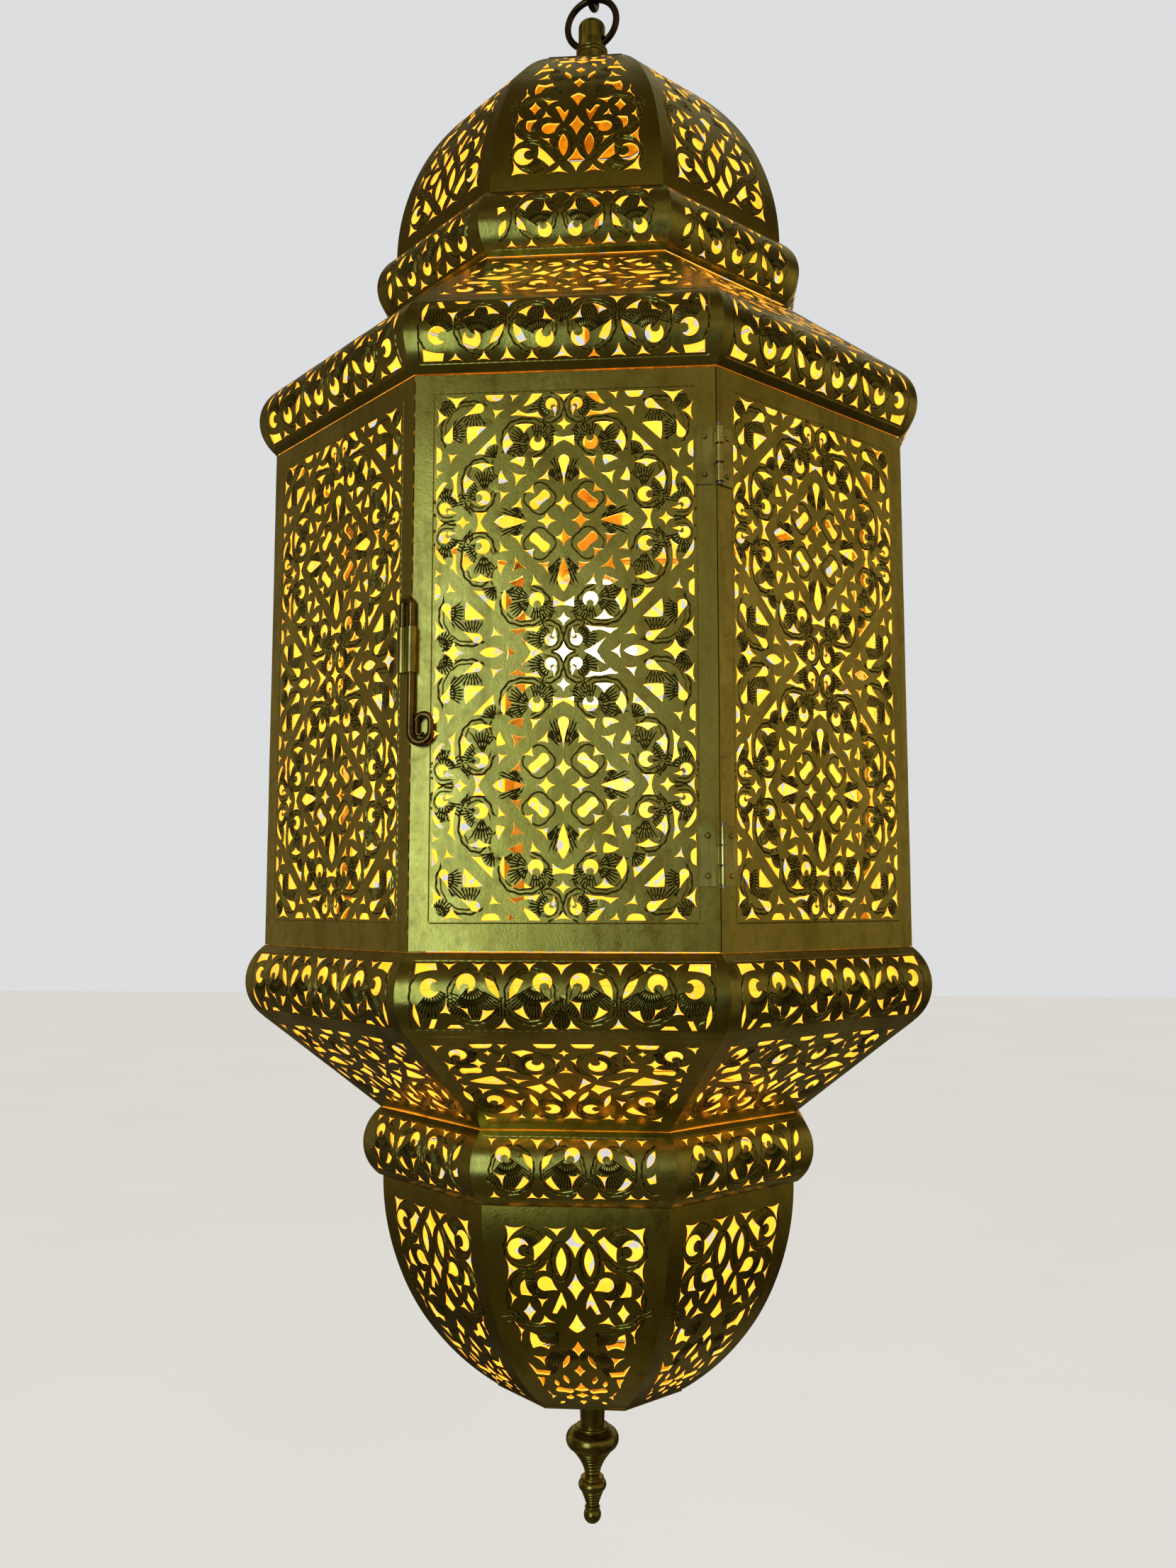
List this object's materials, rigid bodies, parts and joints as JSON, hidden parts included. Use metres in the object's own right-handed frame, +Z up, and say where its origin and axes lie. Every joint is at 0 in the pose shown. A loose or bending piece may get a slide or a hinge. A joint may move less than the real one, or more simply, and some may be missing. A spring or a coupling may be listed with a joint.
{
  "type": "hanging lantern",
  "caption": "Eight-sided pierced brass lantern with a hinged, latched door, ribbed domes, a finial and a ring on a short chain to hang it by.",
  "frame": {"origin": "inside top of the upper chain link, where a hook carries the lantern", "axes": "+Z up, -Y out of the door, +X towards the door's hinges"},
  "size_m": [0.4, 0.4, 1.0694],
  "materials": {
    "pierced_sheet": "aged, chased",
    "dome_sheet": "aged, chased",
    "band_sheet": "aged, chased",
    "frame_brass": "plain",
    "fitting_brass": "dark aged",
    "turned_brass": "turned, aged",
    "bright_brass": "satin",
    "dark_wire": "dark bronzed",
    "lampholder_brass": "satin",
    "lampholder_ceramic": "glazed ceramic",
    "bulb_cap_metal": "satin",
    "bulb_glass": "opal, lit",
    "steel": "plain"
  },
  "bodies": {
    "hanger": {"hanging_link": "dark_wire"},
    "link": {"chain_link": "dark_wire"},
    "ring": {"suspension_ring": "dark_wire"},
    "lantern": {"stem": "turned_brass", "finial": "turned_brass", "crown_plate": "turned_brass", "base_plate": "turned_brass", "down_tube": "bright_brass", "tube_nuts": "bright_brass", "frame_rivets": "bright_brass", "lampholder_cap": "lampholder_brass", "lampholder_shell": "lampholder_brass", "lampholder_insert": "lampholder_ceramic", "bulb_cap": "bulb_cap_metal", "bulb_glass": "bulb_glass", "body_panel_1": "pierced_sheet", "body_panel_2": "pierced_sheet", "body_panel_3": "pierced_sheet", "body_panel_4": "pierced_sheet", "body_panel_5": "pierced_sheet", "body_panel_6": "pierced_sheet", "body_panel_7": "pierced_sheet", "top_gore_1": "dome_sheet", "top_gore_2": "dome_sheet", "top_gore_3": "dome_sheet", "top_gore_4": "dome_sheet", "top_gore_5": "dome_sheet", "top_gore_6": "dome_sheet", "top_gore_7": "dome_sheet", "top_gore_8": "dome_sheet", "bottom_gore_1": "dome_sheet", "bottom_gore_2": "dome_sheet", "bottom_gore_3": "dome_sheet", "bottom_gore_4": "dome_sheet", "bottom_gore_5": "dome_sheet", "bottom_gore_6": "dome_sheet", "bottom_gore_7": "dome_sheet", "bottom_gore_8": "dome_sheet", "upper_band": "band_sheet", "lower_band": "band_sheet", "upper_collar": "band_sheet", "lower_collar": "band_sheet", "upper_slopes": "band_sheet", "lower_slopes": "band_sheet", "corner_strips": "frame_brass", "frame_rings": "frame_brass", "upper_hinge_frame_leaf": "fitting_brass", "lower_hinge_frame_leaf": "fitting_brass", "latch_keeper": "fitting_brass", "upper_hinge_pin": "steel", "lower_hinge_pin": "steel", "finial_stud": "steel", "finial_nut": "steel"},
    "door": {"door_panel": "pierced_sheet", "upper_hinge_door_leaf": "fitting_brass", "lower_hinge_door_leaf": "fitting_brass", "door_rivets": "bright_brass", "latch_sleeve": "fitting_brass"},
    "latch": {"latch_hairpin": "dark_wire"}
  },
  "joints": [
    {"name": "link_swing", "type": "hinge", "parent": "hanger", "child": "link", "pos_m": [0, 0, -0.03225], "axis": [0.9659, -0.2588, 0], "range_deg": [-35, 35]},
    {"name": "ring_swing", "type": "hinge", "parent": "link", "child": "ring", "pos_m": [0, 0, -0.06195], "axis": [0.2588, 0.9659, 0], "range_deg": [-35, 35]},
    {"name": "lantern_swing", "type": "hinge", "parent": "ring", "child": "lantern", "pos_m": [0, 0, -0.09045], "axis": [0.9659, -0.2588, 0], "range_deg": [-50, 50]},
    {"name": "door_hinge", "type": "hinge", "parent": "lantern", "child": "door", "pos_m": [0.07976, -0.19255, -0.5569], "axis": [0, 0, 1], "range_deg": [0, 165]},
    {"name": "latch_slide", "type": "slide", "parent": "door", "child": "latch", "axis": [0, 0, 1], "range_m": [-0.0115, 0.018]}
  ]
}
